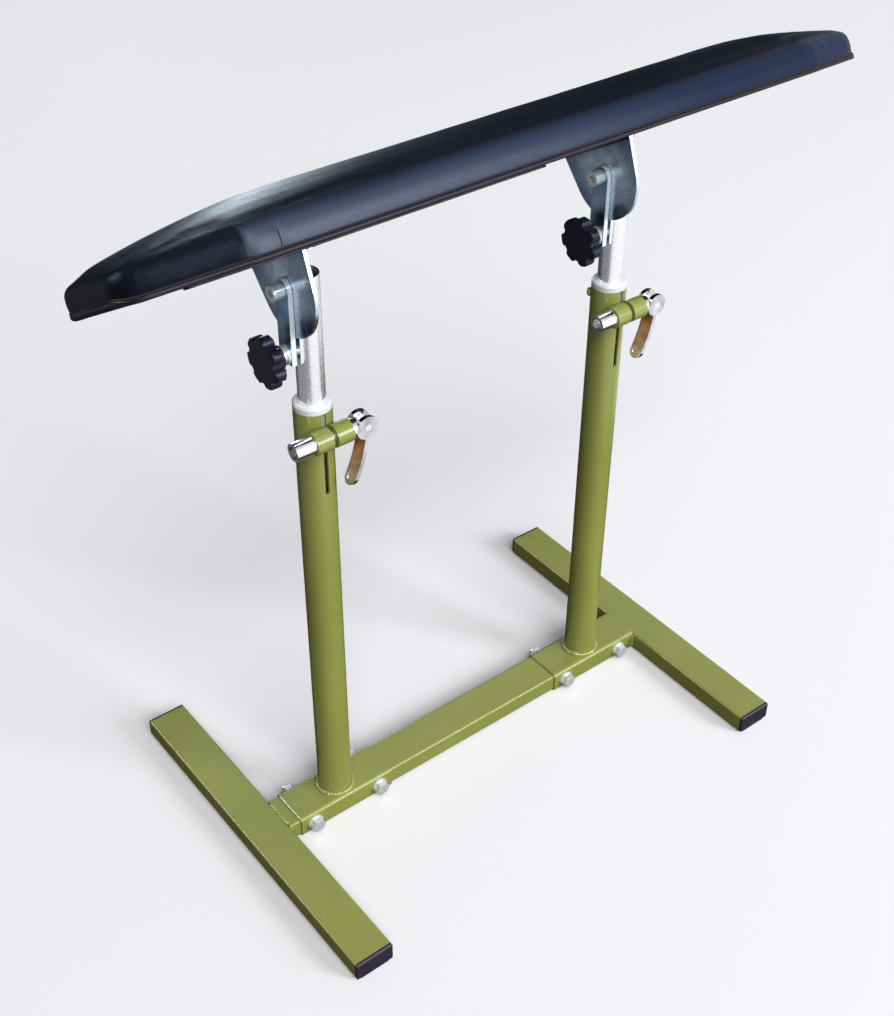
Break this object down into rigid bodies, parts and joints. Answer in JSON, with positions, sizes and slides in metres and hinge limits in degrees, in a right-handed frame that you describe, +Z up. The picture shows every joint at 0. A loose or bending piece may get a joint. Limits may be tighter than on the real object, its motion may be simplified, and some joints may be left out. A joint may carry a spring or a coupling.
{
  "type": "tattoo arm rest stand",
  "caption": "Arm rest stand: a long padded board that tilts on telescoping posts with cam clamps and star knobs, on a bolted H-shaped steel base.",
  "frame": {"origin": "on the floor, under the middle of the pad", "axes": "+X along the pad towards the right foot, -Y to the front where the clamps are, +Z up"},
  "size_m": [0.76, 0.378, 0.6799],
  "materials": {
    "green_paint": "gloss",
    "black_plastic": "matte",
    "white_plastic": "satin",
    "knob_plastic": "satin",
    "zinc": "satin",
    "chrome": "mirror",
    "polished_aluminium": "polished",
    "plywood": "matte",
    "black_cover": "satin"
  },
  "bodies": {
    "base": {"left_foot": "green_paint", "cross_rail": "green_paint", "left_sleeve": "green_paint", "left_post": "green_paint", "right_foot": "green_paint", "right_sleeve": "green_paint", "right_post": "green_paint", "end_caps": "black_plastic", "base_bolts": "zinc", "base_washers": "zinc", "base_nuts": "zinc", "left_bush": "white_plastic", "right_bush": "white_plastic", "bush_pins": "green_paint", "left_clamp_rod": "zinc", "right_clamp_rod": "zinc", "left_barrel_nut": "chrome", "right_barrel_nut": "chrome", "left_cam_washer": "chrome", "right_cam_washer": "chrome", "left_cam_pin": "zinc", "right_cam_pin": "zinc"},
    "left_mast": {"left_inner_tube": "polished_aluminium", "left_tube_guide": "black_plastic", "left_clamp_bar": "zinc", "left_pivot_bolt": "zinc", "left_pivot_nut": "zinc", "left_mast_washers": "zinc", "left_knob_bolt": "zinc"},
    "right_mast": {"right_inner_tube": "polished_aluminium", "right_tube_guide": "black_plastic", "right_clamp_bar": "zinc", "right_pivot_bolt": "zinc", "right_pivot_nut": "zinc", "right_mast_washers": "zinc", "right_knob_bolt": "zinc"},
    "pad": {"pad_board": "plywood", "pad_cushion": "black_cover", "left_bracket": "zinc", "right_bracket": "zinc", "bracket_screws": "zinc", "tee_nuts": "zinc"},
    "left_cam_lever": {"left_lever": "chrome"},
    "right_cam_lever": {"right_lever": "chrome"},
    "left_star_knob": {"left_knob": "knob_plastic"},
    "right_star_knob": {"right_knob": "knob_plastic"}
  },
  "joints": [
    {"name": "left_height", "type": "slide", "parent": "base", "child": "left_mast", "axis": [0, 0, 1], "range_m": [-0.035, 0.18]},
    {"name": "right_height", "type": "slide", "parent": "base", "child": "right_mast", "axis": [0, 0, 1], "range_m": [-0.035, 0.18]},
    {"name": "pad_tilt", "type": "hinge", "parent": "left_mast", "child": "pad", "pos_m": [-0.21, 0, 0.5902], "axis": [1, 0, 0], "range_deg": [-44, 106]},
    {"name": "left_lever_swing", "type": "hinge", "parent": "base", "child": "left_cam_lever", "pos_m": [-0.1776, -0.0248, 0.4588], "axis": [0, -1, 0], "range_deg": [0, 170]},
    {"name": "right_lever_swing", "type": "hinge", "parent": "base", "child": "right_cam_lever", "pos_m": [0.1494, -0.0248, 0.4588], "axis": [0, -1, 0], "range_deg": [0, 170]},
    {"name": "left_knob_turn", "type": "hinge", "parent": "left_mast", "child": "left_star_knob", "pos_m": [-0.25, 0, 0.5332], "axis": [1, 0, 0], "continuous": true},
    {"name": "right_knob_turn", "type": "hinge", "parent": "right_mast", "child": "right_star_knob", "pos_m": [0.077, 0, 0.5332], "axis": [1, 0, 0], "continuous": true}
  ],
  "couplings": [
    {"joint": "right_height", "follows": "left_height", "ratio": 1}
  ]
}
